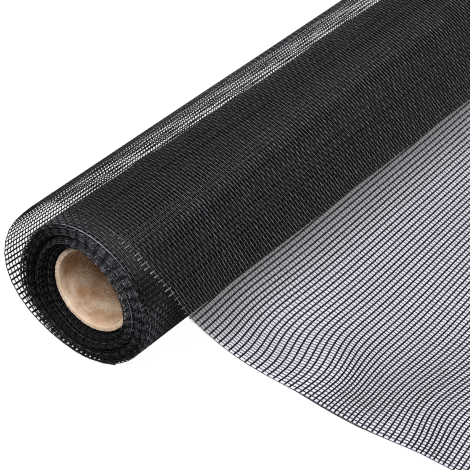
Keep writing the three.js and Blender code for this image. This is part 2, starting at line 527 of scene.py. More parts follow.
@dataclass(frozen=True)
class SpiralPaperboard(Finish):
    """Spirally wound paperboard: strips of recycled brown paper glued into a tube and cut square.

    It is matt and fibrous, with pale clouds, rusty stains and dark fibre specks, and its cut rim is paler.
    """

    name: str = "spiral_paperboard"
    colour: str = "#a07b5c"
    rim: str = "#d2bfa9"
    rim_strength: float = 0.42
    roughness: float = 0.86
    specular: float = 0.25
    clouds: PaperSpots = PaperSpots(7.0, 3.0, 0.5, 0.35, 0.7, 0.75, "#d2bfa9")
    stains: PaperSpots = PaperSpots(11.0, 2.0, 0.5, 0.5, 0.7, 0.5, "#ab7d56")
    fibres: PaperSpots = PaperSpots(1.6, 4.0, 0.65, 0.52, 0.74, 0.5, "#5f4531")
    strip_width: float = 55.0
    # Share of a strip from its seam to its full height, how much the fibres add to that, and the height.
    seam_share: float = 0.02
    fibre_share: float = 0.6
    relief: float = 0.25
    relief_strength: float = 0.7

    def look(self, tree: bpy.types.NodeTree) -> dict[str, Any]:
        """Brown board with its spots, its spiral seam and its paler rim.

        The map holds the share of a turn and the length along the tube in strip widths, so the seam of the
        spiral lies where their sum is a whole number. The tone is 1 on the cut rim.

        Args:
            tree: the material's nodes.

        Returns:
            The shader's inputs.
        """
        where = add_node(tree, "TexCoord", gives="Object")
        colour = linear(self.colour)
        for spots in (self.clouds, self.stains, self.fibres):
            size = {"Scale": 1 / (spots.size * MM), "Detail": spots.detail, "Roughness": spots.grain}
            noise = add_node(tree, "TexNoise", {"Vector": where, **size})
            share = add_node(tree, "MapRange", [noise, spots.starts, spots.full, 0.0, spots.strength])
            spotted = {0: share, MIX_A: colour, MIX_B: linear(spots.colour)}
            colour = add_node(tree, "Mix", spotted, **COLOUR_MIX)
        cut = add_node(tree, "Attribute", gives="Fac", attribute_name=WEAR_AND_PAINTED_LIGHT)
        torn = add_node(tree, "Math", [cut, self.rim_strength], operation="MULTIPLY")
        place = add_node(tree, "UVMap", uv_map=THREAD_MAP)
        turned = add_node(tree, "SeparateXYZ", [place]).node.outputs
        wound = add_node(tree, "Math", [turned["X"], turned["Y"]], operation="ADD")
        seam = add_node(tree, "Math", [wound, 0.5], operation="PINGPONG")
        dip = add_node(tree, "MapRange", [seam, 0.0, self.seam_share, 0.0, 1.0])
        # The last noise is the fibres', and they stand up a little.
        height = add_node(tree, "Math", [noise, self.fibre_share, dip], operation="MULTIPLY_ADD")
        relief = {"Height": height, "Strength": self.relief_strength, "Distance": self.relief * MM}
        rim = {0: torn, MIX_A: colour, MIX_B: linear(self.rim)}
        return {
            "Base Color": add_node(tree, "Mix", rim, **COLOUR_MIX),
            "Roughness": self.roughness,
            "Normal": add_node(tree, "Bump", relief),
            "Specular IOR Level": self.specular,
        }


@dataclass(frozen=True)
class WhitePaper(Finish):
    """Matt white paper that glows, with painted shade under the laid screen and a painted shadow by the roll.

    In front it glows pure white. Under the laid screen it glows less, as painted shade, and close to the
    roll it is painted darker, as the roll's shadow.
    """

    place: Place
    name: str = "white_paper_with_painted_shade"
    # What is white in front is the glow. The paper's own colour is dark there, so that no shade falls on it.
    front: str = "#3c3c3c"
    covered: str = "#deddf1"
    painted_shadow_colour: str = "#000000"
    light: str = "#ffffff"
    roughness: float = 0.9
    specular: float = 0.1
    front_glow: float = 0.98
    painted_shade_glow: float = 0.35
    # Painted shadow of the roll: what is left of the covered colour and glow by the roll, and how far out
    # they are whole again.
    roll_shade: float = 0.56
    roll_shade_reach: float = 42.0
    # Where the laid edge is seen, in metres: shares of the fourth power of the distance out, down to 0.
    edge_seen: tuple[float, ...] = (76.0, -32.2, 5.68, -0.609, 0.0405)
    # The shade's borders, each from none to full: across that edge, out from the axis, and along the roll.
    edge_blur: Span = (-0.7, 0.9)
    shade_out: Span = (-25.0, 5.0)
    shade_along: Span = (SCREEN_WIDTH, SCREEN_WIDTH - 30)

    def look(self, tree: bpy.types.NodeTree) -> dict[str, Any]:
        """White in front, with painted shade where it is covered.

        The painted shade lies beyond the curve where the sheet's near edge is seen, which goes by powers of
        the distance out, on the laid side of the roll, and ends with the sheet. All borders are smooth steps,
        and by another a painted shadow darkens it close to the roll.

        Args:
            tree: the material's nodes.

        Returns:
            The shader's inputs.
        """
        where = add_node(tree, "TexCoord", gives="Object")
        start = Vector(self.place.metres(np.zeros(3)))
        moved = add_node(tree, "VectorMath", [where, start], operation="SUBTRACT")
        apart = add_node(tree, "SeparateXYZ", [moved]).node.outputs
        edge = self.edge_seen[0]
        for share in self.edge_seen[1:]:
            edge = add_node(tree, "Math", [apart["X"], edge, share], operation="MULTIPLY_ADD")
        past = add_node(tree, "Math", [apart["Y"], edge], operation="SUBTRACT")
        shade = 1.0
        borders = ((past, self.edge_blur), (apart["X"], self.shade_out), (apart["Y"], self.shade_along))
        for reach, (none, full) in borders:
            step = add_node(tree, "MapRange", [reach, none * MM, full * MM, 0.0, 1.0], **SMOOTH)
            shade = add_node(tree, "Math", [shade, step], operation="MULTIPLY")
        # Painted shadow of the roll: its colour and glow fall towards the roll.
        by_roll = [apart["X"], 0.0, self.roll_shade_reach * MM, self.roll_shade, 1.0]
        away = add_node(tree, "MapRange", by_roll, **SMOOTH)
        darkening = {0: away, MIX_A: linear(self.painted_shadow_colour), MIX_B: linear(self.covered)}
        covered = add_node(tree, "Mix", darkening, **COLOUR_MIX)
        dim = add_node(tree, "Math", [away, self.painted_shade_glow], operation="MULTIPLY")
        ground = {0: shade, MIX_A: linear(self.front), MIX_B: covered}
        return {
            "Base Color": add_node(tree, "Mix", ground, **COLOUR_MIX),
            "Roughness": self.roughness,
            "Specular IOR Level": self.specular,
            "Emission Color": linear(self.light),
            "Emission Strength": add_node(tree, "MapRange", [shade, 0.0, 1.0, self.front_glow, dim]),
        }


@dataclass
class LooseShape:
    """Middle surface of the loose end, by length of sheet and place along the roll.

    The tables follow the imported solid's, with the slack turn standing out a little more at the back. The laid
    part has soft ripples besides, which the solid hasn't.
    """

    # Angle round the roll from straight below by way of the back, and the gap to the wound turns.
    slack_turn: Array = table(
        (-18, 0.3), (-6, 0.3), (6, 0.3), (18, 0.35), (30, 0.5), (44, 1.5), (58, 3.7),
        (70, 5.8), (82, 7.6), (92, 8.5), (103, 8.6), (116, 8.0), (130, 6.9), (146, 6.6),
        (162, 5.0), (178, 2.7), (193, 1.0), (208, 0.4), (226, 0.4),
    )
    # Distance out from the axis, and clearance under the sheet.
    laid_run: Array = table(
        (24.2, 37.8), (34, 28.7), (45, 21.6), (60, 14.9), (80, 9.0), (104, 4.4), (125, 1.5),
        (146, 0), (156, 0), (183, 0), (210, 0),
    )
    # Place along the roll, how much the slack turn swells, and how far the laid part is drawn back.
    along_the_roll: Array = table(
        (0, 0.985, 0), (110, 1.015, 4.3), (230, 1.06, 8.6), (420, 0.94, 11), (600, 1.02, 11.5)
    )
    # Distances out from the axis between which the laid part starts to be drawn back and is so in full.
    drawn_over: Span = (30.0, 120.0)
    # Length of sheet, and the selvage's drift along the roll.
    selvage_drift: Array = table(
        (0, -1.6), (14, -2.1), (28, -2.8), (44, -2.7), (68, -2.5), (110, 0), (132, 2.0),
        (141, 3.4), (151, 2.6), (160, 2.5), (245, 6), (360, 9.5),
    )
    # Ripples: length of sheet and place along the roll, half widths, then the shift out, along and up.
    ripples: Array = table(
        (185, 0, 16, 45, 0, 0, 1.2),
        (236, 0, 14, 40, 0, 0, 1.3),
        (185, 8, 20, 18, 4.5, 0, -1),
        (169, 24, 21, 18, -3, -2, -1.6),
        (190, 21, 10, 15, 2, 1.5, 1.3),
        (235, 21, 23, 29, -4, 0, 0),
        (214, 63, 31, 34, -0.7, -1.5, -3.5),
        (231, 4, 12, 14, 3.2, 0, 0),
        (205, 6, 15, 6.5, 0, 0.5, 1),
        (214, 150, 28, 70, 0, 0, 0.9),
        (228, 380, 24, 80, 0, 0, 1.2),
        (202, 560, 22, 50, 0, 0, 1.3),
    )
    # Length of sheet, and how far threads lie inside the solid's middle, or outside it under the roll.
    settled: Array = table((15, -0.2), (45, 0.2))
    # Steps between two points of a curve, and more than any curve's length.
    steps: int = 12
    row_apart: float = 1e4

    def controls(self, along: Array) -> Array:
        """Points that the sheet passes through, across the roll, at places along it.

        Args:
            along: places along the roll.

        Returns:
            Places by points by (x, z).
        """
        swell = eased(self.along_the_roll, along)[:, None]
        drawn = eased(self.along_the_roll, along, column=2)[:, None]
        turn, gap = np.radians(self.slack_turn[:, 0]), self.slack_turn[:, 1]
        radius = WOUND_RADIUS + FIT_GAP + (gap - FIT_GAP) * swell + SHEET_HALF
        slack = np.stack([-radius * np.sin(turn), -radius * np.cos(turn)], axis=-1)
        out, clear = self.laid_run.T
        pulled = out - drawn * smoothstep(out, *self.drawn_over)
        level = np.broadcast_to(FLOOR_LEVEL + SHEET_HALF + clear, pulled.shape)
        return np.concatenate([slack, np.stack([pulled, level], axis=-1)], axis=1)

    def curves(self, along: Array) -> tuple[Array, Array]:
        """Smooth curves through the control points, and the length along them.

        Each span is a cubic whose end slopes come from the spans beside it, each weighed by the root of its
        length.

        Args:
            along: places along the roll.

        Returns:
            Points, places by steps by (x, z), and lengths, places by steps.
        """
        inner = self.controls(along)
        first, last = 2 * inner[:, :1] - inner[:, 1:2], 2 * inner[:, -1:] - inner[:, -2:-1]
        points = np.concatenate([first, inner, last], axis=1)
        root = np.sqrt(np.linalg.norm(np.diff(points, axis=1), axis=2))[:, :, None]
        before, span, after = root[:, :-2], root[:, 1:-1], root[:, 2:]
        a, b, c, d = points[:, :-3], points[:, 1:-2], points[:, 2:-1], points[:, 3:]
        leave = ((b - a) / before - (c - a) / (before + span) + (c - b) / span) * span
        arrive = ((c - b) / span - (d - b) / (span + after) + (d - c) / after) * span
        share = (np.arange(self.steps) / self.steps)[:, None]
        a, b, c, d = (v[:, :, None] for v in (leave, b, c, arrive))
        fine = b + a * share + (3 * (c - b) - 2 * a - d) * share**2 + (2 * (b - c) + a + d) * share**3
        fine = np.concatenate([fine.reshape(len(along), -1, 2), inner[:, -1:]], axis=1)
        stretch = np.linalg.norm(np.diff(fine, axis=1), axis=2)
        return fine, np.concatenate([np.zeros((len(along), 1)), np.cumsum(stretch, axis=1)], axis=1)

    def full_length(self) -> float:
        """Length of the sheet at the near selvage."""
        return float(self.curves(np.zeros(1))[1][0, -1])

    def at(self, along: Array, length: Array) -> tuple[Array, Array]:
        """Points and outer directions of the sheet.

        The curve at each place is read at the lengths, and it drifts along the roll. Each ripple shifts it by
        an amount that falls off as a bell curve, and the surface below stops it. The threads lie a little
        nearer to what carries them than the middle of the solid does.

        Args:
            along: places along the roll, one for each row.
            length: lengths of sheet, rows by columns.

        Returns:
            Points and unit vectors, rows by columns by 3.
        """
        fine, reach = self.curves(along)
        slope = np.gradient(fine, axis=1)
        apart = np.arange(len(along))[:, None] * self.row_apart
        keys = (reach + apart).ravel()
        both = np.concatenate([fine, slope], axis=2).reshape(-1, 4).T
        x, z, ahead_x, ahead_z = (np.interp(length + apart, keys, values) for values in both)
        place = np.broadcast_to(along[:, None], length.shape)
        gaps = (length[..., None] - self.ripples[:, 0]) / self.ripples[:, 2]
        ways = (place[..., None] - self.ripples[:, 1]) / self.ripples[:, 3]
        points = np.stack([x, place + eased(self.selvage_drift, length), z], axis=-1)
        points += np.exp(-gaps * gaps - ways * ways) @ self.ripples[:, 4:]
        points[..., 2] = np.maximum(points[..., 2], FLOOR_LEVEL + SHEET_HALF)
        outward = unit(np.stack([-ahead_z, np.zeros_like(x), ahead_x], axis=-1))
        return points - eased(self.settled, length)[..., None] * outward, outward


@dataclass
class LooseScreen:
    """The slack last turn and the laid end of the screen, as woven threads.

    A table's first column is the length of sheet, or the place along the roll where its name ends in along.
    Tones and sizes are as in Yarn.tubes.
    """

    place: Place
    shape: LooseShape = field(default_factory=LooseShape)
    # The real yarn is about 0.28 mm thick. It is drawn thicker, because the render's pixels are coarser.
    warp: Yarn = Yarn(0.225, 0.15)
    weft: Yarn = Yarn(0.365, 0.165)
    # From the screen's edge to its first warp, and from the sheet's ends to its first and last weft.
    edge: float = 0.5
    first_weft: float = 0.6
    last_weft: float = 0.9
    # How unevenly threads are spaced.
    warp_wander: float = 0.03
    weft_wander: float = 0.06
    # Lengths of sheet, and how many steps a warp has between them. The last is the sheet's end.
    warp_stops: tuple[float, ...] = (0.0, 235.0, 290.0)
    warp_steps: tuple[int, ...] = (45, 7, 5)
    # A weft's first places along the roll, then others and how many steps it has between them.
    weft_tips: tuple[float, ...] = (0.6, 0.9, 1.6)
    weft_stops: tuple[float, ...] = (4.0, 64.0, 256.0, SCREEN_WIDTH)
    weft_steps: tuple[int, ...] = (14, 16, 11)
    # Angle by which wefts are skewed, in degrees, and the places along the roll over which that levels off.
    skewed: Array = table((0, 0), (60, 1.35), (130, 1.35), (260, 3.6))
    skew_levels_off: Span = (200.0, 400.0)
    # How far wefts stand outside the middle surface, and warps inside it.
    weft_lift: Array = table((115, -0.06), (165, 0.06))
    # How many times its size a thread is drawn. Light comes from behind the slack turn, so its threads are
    # drawn thicker where they are seen square on, and thinner where they are seen along the sheet.
    drawn_size: Array = table(
        (8, 1.8), (18, 1.65), (25, 1.35), (38, 1.1), (54, 1.1), (79, 0.8), (102, 0.8), (122, 1.0)
    )
    # The same for the last warp, on top of that: in places it is worn thin.
    last_warp_size: Array = table(
        (150, 1.0), (160, 0.7), (168, 0.8), (174, 1.0), (180, 0.7), (186, 0.7), (192, 1.4), (214, 1.4),
        (221, 0.6), (300, 0.8),
    )
    # How much heavier the warps beside it are, where the selvage is pressed to the floor, and how far along.
    selvage_bold: Array = table((184, 0), (192, 0.4), (238, 0.4), (252, 0))
    bold_reach: float = 4.0
    # Tone of the warps, and what is left of it under painted shade near the selvage and at the back of
    # the roll.
    warp_tone: Span = (0.35, 0.95)
    selvage_painted_shade: Array = table((3, 0.15), (36, 1.0))
    back_painted_shade: Array = table((106, 0.25), (126, 1.0))
    # How far the laid selvage's warps are darker, and how far along. The last warp shows on the roll's
    # front.
    selvage_darker: Array = table((150, 0), (170, 0.7))
    darker_reach: float = 6.0
    last_warp_tone: Array = table((104, 0), (120, 0.6), (140, 0.6), (155, 0))
    # Further along the roll the threads are dusty on the slack turn, and rubbed on the laid part.
    dusty: Array = table((98, 1.0), (112, 0))
    dusty_along: Array = table((30, 0), (110, 0.4))
    rubbed_and_sheen: Array = table((140, 0), (170, 1.0))
    rubbed_along: Array = table((80, 0), (180, 0.5))
    # How far weft ends stand out past their first place, and how ragged they are there and at the far end.
    stub: Array = table((107, 0), (124, 2.1), (142, 2.1), (158, 0.3))
    ragged: Span = (0.6, 1.25)
    ragged_far: Span = (-0.3, 0.25)
    # Tone of the wefts, and what their ends have besides and lose in size on the roll's front.
    weft_tone: Span = (0.0, 0.15)
    front: Array = table((107, 0), (124, 1.0), (142, 1.0), (158, 0))
    stub_tone: Span = (0.5, 1.5)
    stub_thin: float = 0.45
    seed: int = 11

    def skew(self, length: Array, along: Array) -> Array:
        """How far a weft has slid back along the sheet.

        The mesh is sheared: the slide grows along the roll at one angle on the roll and at a larger one where
        it is laid, and by a parabola it levels off beyond the middle of the roll.

        Args:
            length: length of sheet.
            along: place along the roll.

        Returns:
            The slide in millimetres.
        """
        low, high = self.skew_levels_off
        bent = np.clip(along - low, 0, high - low) ** 2 / (2 * (high - low))
        slopes = np.stack([self.skewed[:, 0], np.tan(np.radians(self.skewed[:, 1]))], axis=1)
        return (along - bent - np.clip(along - high, 0, None)) * eased(slopes, length)

    def greyer(self, length: Array, along: Array) -> Array:
        """How much greyer a thread is, by smooth steps of the length of sheet and of the place along."""
        slack = eased(self.dusty_along, along) * eased(self.dusty, length)
        return slack + eased(self.rubbed_along, along) * eased(self.rubbed_and_sheen, length)

    def warp_shell(self, random: np.random.Generator) -> Shell:
        """Threads along the sheet.

        Each ends where its last weft has slid to. What the selvage has of its own falls off along the roll,
        as an exponential or a bell curve.

        Args:
            random: seeded source of small differences.

        Returns:
            The threads' shell.
        """
        total = self.shape.full_length()
        along = np.linspace(self.edge, SCREEN_WIDTH - self.edge, WARPS)
        along = along + random.normal(0, self.warp_wander, WARPS)
        across = along[:, None]
        steps = stepped((*self.warp_stops, total), self.warp_steps)
        length = steps * (total - self.skew(np.array(total), across)) / total
        paths, outward = self.shape.at(along, length)
        paths = paths - eased(self.weft_lift, length)[..., None] * outward
        crossings = length / WEFT_PITCH + np.arange(WARPS)[:, None] % 2
        tone = random.uniform(*self.warp_tone, (WARPS, 1)) * eased(self.selvage_painted_shade, across)
        tone = tone * eased(self.back_painted_shade, length)
        tone = tone * (1 - eased(self.selvage_darker, length) * np.exp(-across / self.darker_reach))
        tone[0] += eased(self.last_warp_tone, steps)
        tone = tone + self.greyer(length, across)
        bold = eased(self.selvage_bold, length) * np.exp(-((across / self.bold_reach) ** 2))
        size = eased(self.drawn_size, length) * (1 + bold)
        size[0] *= eased(self.last_warp_size, length[0])
        return self.warp.tubes(paths, outward, crossings, tone, capped=False, swell=size)

    def weft_shell(self, random: np.random.Generator) -> Shell:
        """Threads across the sheet, from selvage to selvage, slid back by the skew.

        Args:
            random: seeded source of small differences.

        Returns:
            The threads' shell.
        """
        lengths = np.arange(self.first_weft, self.shape.full_length() - self.last_weft, WEFT_PITCH)
        count = len(lengths)
        along = np.concatenate([self.weft_tips, stepped(self.weft_stops, self.weft_steps)])
        wander = random.normal(0, self.weft_wander, count)
        length = lengths - self.skew(lengths, along[:, None]) + wander
        paths, outward = self.shape.at(along, length)
        paths = (paths + eased(self.weft_lift, length)[..., None] * outward).swapaxes(0, 1)
        outward = outward.swapaxes(0, 1)
        paths[:, 0, 1] -= random.uniform(*self.ragged, count) * eased(self.stub, lengths)
        paths[:, -1, 1] += random.uniform(*self.ragged_far, count)
        crossings = along / WARP_PITCH + np.arange(count)[:, None] % 2
        front = eased(self.front, lengths)[:, None]
        tone = random.uniform(*self.weft_tone, (count, 1)) + self.greyer(lengths[:, None], along)
        tone[:, :2] += front * random.uniform(*self.stub_tone, (count, 1))
        size = np.repeat(eased(self.drawn_size, lengths)[:, None], len(along), axis=1)
        size[:, :2] *= 1 - self.stub_thin * front
        return self.weft.tubes(paths, outward, crossings, tone, swell=size)

    def build(self, finish: bpy.types.Material) -> list[bpy.types.Object]:
        """Args:
            finish: the yarn's material.

        Returns:
            The pieces made.
        """
        random = np.random.default_rng(self.seed)
        shell = Shell.joined([self.warp_shell(random), self.weft_shell(random)])
        made = shell.to_object("loose_screen_mesh", self.place, finish)
        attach(made, BODY)
        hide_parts("loose_screen")
        length = round(self.shape.full_length() * MM, 3)
        return [made]


@dataclass
class WoundScreen:
    """The tight turns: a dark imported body, the outermost turn of threads on it, and open turns at its ends.

    Angles go from the x axis towards z. Tones are as in Yarn.tubes.
    """

    place: Place
    yarn: Yarn = Yarn(0.2, 0.17)
    sunk_yarn: Yarn = Yarn(0.12, 0.1)
    # From the screen's edge to its first warp, and how unevenly threads are spaced.
    edge: float = 0.7
    warp_wander: float = 0.03
    weft_wander: float = 0.04
    # Where the near end lies from the core's end, and how far it slants, warps and is dented.
    end_shift: float = -4.3
    end_slant: Wave = Wave(1.5, 62.0)
    end_warp: Wave = Wave(0.6, 62.0, times=2)
    end_dent: Lobe = Lobe(0.6, 228.0, power=16)
    # The roll is pressed flat where it rests, and its turns sag out a little towards the slack turn.
    flat_spot: float = 0.3
    sag: Lobe = Lobe(2.7, 198.0, power=5)
    # Place along the roll, and how far the turns are wound full there: less than nothing is slim.
    full_along: Array = table((0, 0.3), (100, -0.6))
    full_side: Lobe = Lobe(1.0, 132.0, power=2)
    # The body is set in from the turns' edges, less so at its outside.
    body_bore: float = WOUND_BORE + 0.1
    body_radius: float = 24.45
    body_inset: float = 6.5
    body_rim_inset: float = 2.5
    body_rounds: int = 96
    body_steps: int = 25
    # The outermost turn, half the distance between its warps and wefts, and how far wefts stand out.
    # Then points of a warp and of a weft.
    outer_radius: float = 24.9
    weave_half: float = 0.05
    weft_out: float = 0.1
    warp_points: int = 40
    weft_points: int = 25
    # Tone of its warps, what is left of it where the loose end covers them, and how much darker it is at
    # the top.
    warp_tone: Span = (0.4, 1.15)
    covered_along: Array = table((8, 1.0), (14, 0.5))
    top_darker: Lobe = Lobe(0.5, 75.0, power=2)
    # The turn's cut edge is lighter over the top: its tone, and what it has in two places besides.
    cut_tone: float = 0.4
    cut_lighter: tuple[Lobe, ...] = (Lobe(1.1, 72.0, power=4), Lobe(0.7, 165.0, power=4))
    # Wefts are sunk between the warps here, so less of them is seen.
    weft_tone: Span = (0.0, 0.15)
    # The near band has painted shade where the loose end leaves the roll, and below that painted light
    # brings its weave out again, less so on the warps.
    band_along: Array = table((7, 1.0), (11, 0))
    band_shade: Lobe = Lobe(1.3, 20.0, power=32)
    band_painted_light: Lobe = Lobe(0.8, -25.0, power=12)
    band_warp_most: float = 0.2
    # Turns at the ends: how many, the innermost's radius, how deep their wefts go, and how many warps show.
    turns: int = 22
    end_bore: float = WOUND_BORE + 0.25
    end_depth: float = 7.5
    end_warps: int = 5
    # In a turn at the ends: points of a warp, wefts that it crosses, and wefts that are drawn. Then points of
    # a weft, and steps in which the spiral's length is worked out.
    end_points: int = 44
    end_crossings: int = 70
    end_wefts: int = 68
    end_weft_points: int = 3
    fine_steps: int = 400
    # Share of the depth from core to outside, and how far that group of turns stands out.
    turn_groups: Array = table(
        (0, -0.9), (0.14, -1.0), (0.32, 0.6), (0.5, -0.5), (0.7, 0.5), (0.88, -0.3), (1.0, 0.0)
    )
    # How unevenly single turns stand out, and how the inner ones slant and warp.
    turn_uneven: float = 0.4
    inner_slant: Wave = Wave(1.15, -30.0)
    inner_warp: Wave = Wave(0.4, 20.0, times=2)
    # How far wefts stand out past the first warp there, and how ragged they are.
    weft_stub: float = 0.15
    end_ragged: Span = (-0.25, 0.15)
    # Threads at the ends get painted light on one side. Here and there an edge gets a painted glint, by up
    # to so much and in so many places in a turn.
    painted_light_side: Wave = Wave(0.6, 40.0)
    end_warp_tone: Span = (0.3, 1.0)
    end_weft_tone: Span = (0.2, 1.3)
    glint: float = 1.1
    glints: int = 5
    seed: int = 23

    def slide(self, angle: Array) -> Array:
        """Where the near end lies along the roll at those angles: it slants, warps and has a dent."""
        slanted = self.end_shift - self.end_slant.at(angle) - self.end_warp.at(angle)
        return slanted + self.end_dent.at(angle)

    def ringed(self, radius: Array, angle: Array, y: Array) -> Array:
        """Points at a radius and angle round the axis, pressed flat where the roll rests.

        The sag and the fullness grow evenly from the bore to the outside. A smooth step along the roll turns
        fullness into slimness.

        Args:
            radius: distances from the axis.
            angle: angles from the x axis, towards z.
            y: places along the roll.

        Returns:
            Points, with x, y and z last.
        """
        radius, angle, y = np.broadcast_arrays(radius, angle, y)
        out = self.sag.at(angle) + eased(self.full_along, y) * self.full_side.at(angle)
        radius = radius + out * (radius - WOUND_BORE) / (WOUND_RADIUS - WOUND_BORE)
        z = np.maximum(radius * np.sin(angle), -(WOUND_RADIUS - self.flat_spot))
        return np.stack([radius * np.cos(angle), y, z], axis=-1)

    def outward(self, angle: Array) -> Array:
        """Unit vectors from the axis at those angles."""
        return np.stack([np.cos(angle), np.zeros_like(angle), np.sin(angle)], axis=-1)

    def body(self) -> Shell:
        """Closed ring of packed turns: a profile carried round the axis.

        The profile goes out along a slanted end, along the outside, back in along the other end and through
        the bore.

        Returns:
            The shell.
        """
        angle = np.linspace(0, 2 * np.pi, self.body_rounds, endpoint=False)[:, None]
        inner, outer = self.body_bore, self.body_radius
        middle = (inner + outer) / 2
        inset = np.linspace(self.body_inset, self.body_rim_inset, 3)
        along = np.linspace(inset[2], SCREEN_WIDTH - inset[2], self.body_steps)
        radius = np.concatenate([[inner, middle], np.full(self.body_steps, outer), [middle, inner]])
        y = np.concatenate([inset[:2], along, SCREEN_WIDTH - inset[1::-1]])
        points = self.ringed(radius, angle, self.slide(angle) + y)
        turn = np.linspace(0, round(2 * np.pi * outer / WEFT_PITCH), self.body_rounds + 1)[:, None]
        run = np.concatenate([y, y[:1]]) / WARP_PITCH
        mapped = np.stack(np.broadcast_arrays(run, turn), axis=-1)
        return Shell.on_grids(points[None], mapped[None])

    def band_tone(self, angle: Array, along: Array) -> Array:
        """What the near band adds to the threads' tone: less than nothing as painted shade, and more below it
        as painted light.
        """
        return eased(self.band_along, along) * (self.band_painted_light.at(angle) - self.band_shade.at(angle))

    def outer_turn(self, random: np.random.Generator) -> Shell:
        """The outermost tight turn: warp rings side by side, and wefts straight along the roll.

        Args:
            random: seeded source of small differences.

        Returns:
            The shell.
        """
        count = round(2 * np.pi * self.outer_radius / WEFT_PITCH)
        row = np.arange(WARPS)[:, None]
        angle = np.linspace(0, 2 * np.pi, self.warp_points, endpoint=False)[None, :]
        along = np.linspace(self.edge, SCREEN_WIDTH - self.edge, WARPS)[:, None]
        along = along + random.normal(0, self.warp_wander, (WARPS, 1))
        paths = self.ringed(self.outer_radius + self.weave_half, angle, self.slide(angle) + along)
        outward = np.broadcast_to(self.outward(angle), paths.shape)
        crossed = np.linspace(0, count, self.warp_points + 1) + row % 2
        tone = random.uniform(*self.warp_tone, (WARPS, 1)) * eased(self.covered_along, along)
        tone = tone * (1 - self.top_darker.at(angle))
        tone[0] = self.cut_tone + sum(lobe.at(angle[0]) for lobe in self.cut_lighter)
        tone = tone + np.minimum(self.band_tone(angle, along), self.band_warp_most)
        warp = self.yarn.tubes(paths, outward, crossed, tone, closed=True)

        row = np.arange(count)[:, None]
        angle = (row + random.normal(0, self.weft_wander, (count, 1))) * 2 * np.pi / count
        first = self.edge - self.weft_out
        along = np.linspace(first, SCREEN_WIDTH - first, self.weft_points)[None, :]
        paths = self.ringed(self.outer_radius - self.weave_half, angle, self.slide(angle) + along)
        outward = np.broadcast_to(self.outward(angle), paths.shape)
        crossed = along / WARP_PITCH + row % 2
        tone = random.uniform(*self.weft_tone, (count, 1)) + self.band_tone(angle, along)
        weft = self.sunk_yarn.tubes(paths, outward, crossed, tone)
        return Shell.joined([warp, weft])

    def spiral(self, end: RollEnd, own: Array, share: Array, depth: Array) -> tuple[Array, Array]:
        """Points on the spiral of turns at one end.

        The radius grows evenly along the spiral. Each turn stands out by its group's amount and a little of
        its own, and inner turns slant and warp more.

        Args:
            end: which end.
            own: how far each turn stands out by itself.
            share: shares of the spiral, from the core to the outside.
            depth: distances into the roll from the turns' edges.

        Returns:
            Points and unit vectors from the axis, with x, y and z last.
        """
        turn = share * self.turns
        angle = turn * 2 * np.pi
        leaning = (self.inner_slant.at(angle) + self.inner_warp.at(angle)) * (1 - share)
        proud = eased(self.turn_groups, share) + np.interp(turn, np.arange(len(own)), own) + leaning
        inward = depth if end is RollEnd.NEAR else -depth
        y = self.slide(angle) + end.value * SCREEN_WIDTH - proud + inward
        radius = self.end_bore + (self.body_radius - self.end_bore) * share
        return self.ringed(radius, angle, y), self.outward(angle)

    def side_painted_light(self, share: Array) -> Array:
        """How much painted light threads get at shares of the spiral: the square of a half plus a wave."""
        return np.clip(0.5 + self.painted_light_side.at(share * self.turns * 2 * np.pi), 0, 1) ** 2

    def end_turns(self, end: RollEnd, random: np.random.Generator) -> Shell:
        """Edges of all the turns at one end, as a spiral of threads that goes a short way into the roll.

        Wefts are evenly spaced along the spiral, whose length is the sum of the radius over the angle.

        Args:
            end: which end.
            random: seeded source of small differences.

        Returns:
            The shell.
        """
        own = random.normal(0, self.turn_uneven, self.turns + 2)
        steps = self.turns * self.end_points + 1
        row = np.arange(self.end_warps)[:, None]
        share = np.broadcast_to(np.linspace(0, 1, steps), (self.end_warps, steps))
        paths, outward = self.spiral(end, own, share, self.edge + WARP_PITCH * row)
        crossed = np.linspace(0, self.turns * self.end_crossings, steps) + row % 2
        tone = self.side_painted_light(share) * random.uniform(*self.end_warp_tone, (self.end_warps, 1))
        knots = np.arange(self.turns * self.glints + 1)
        tone[0] += self.glint * np.interp(share[0] * knots[-1], knots, random.random(len(knots)) ** 3)
        warp = self.yarn.tubes(paths, outward, crossed, tone)

        count = self.turns * self.end_wefts
        points = self.end_weft_points
        fine = np.linspace(0, 1, self.fine_steps)
        run = self.end_bore * fine + (self.body_radius - self.end_bore) * fine**2 / 2
        share = np.interp(np.linspace(0, run[-1], count), run, fine)[:, None].repeat(points, axis=1)
        depth = np.linspace(self.edge - self.weft_stub, self.end_depth, points) + np.zeros((count, 1))
        depth[:, 0] += random.uniform(*self.end_ragged, count)
        paths, outward = self.spiral(end, own, share, depth)
        crossed = depth / WARP_PITCH + np.arange(count)[:, None] % 2
        tone = self.side_painted_light(share) * random.uniform(*self.end_weft_tone, (count, 1))
        return Shell.joined([warp, self.yarn.tubes(paths, outward, crossed, tone)])

    def build(
        self, finish: bpy.types.Material, edges: bpy.types.Material, packed: bpy.types.Material
    ) -> list[bpy.types.Object]:
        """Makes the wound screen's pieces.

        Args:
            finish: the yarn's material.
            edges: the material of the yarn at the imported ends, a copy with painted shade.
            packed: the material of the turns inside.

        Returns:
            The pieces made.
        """
        random = np.random.default_rng(self.seed)
        made = [
            self.body().to_object("wound_screen_body", self.place, packed),
            self.outer_turn(random).to_object("wound_screen_outer_turn", self.place, finish),
            self.end_turns(RollEnd.NEAR, random).to_object("wound_screen_near_end", self.place, edges),
            self.end_turns(RollEnd.FAR, random).to_object("wound_screen_far_end", self.place, edges),
        ]
        for piece in made:
            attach(piece, BODY)
            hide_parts("wound_screen")
        return made


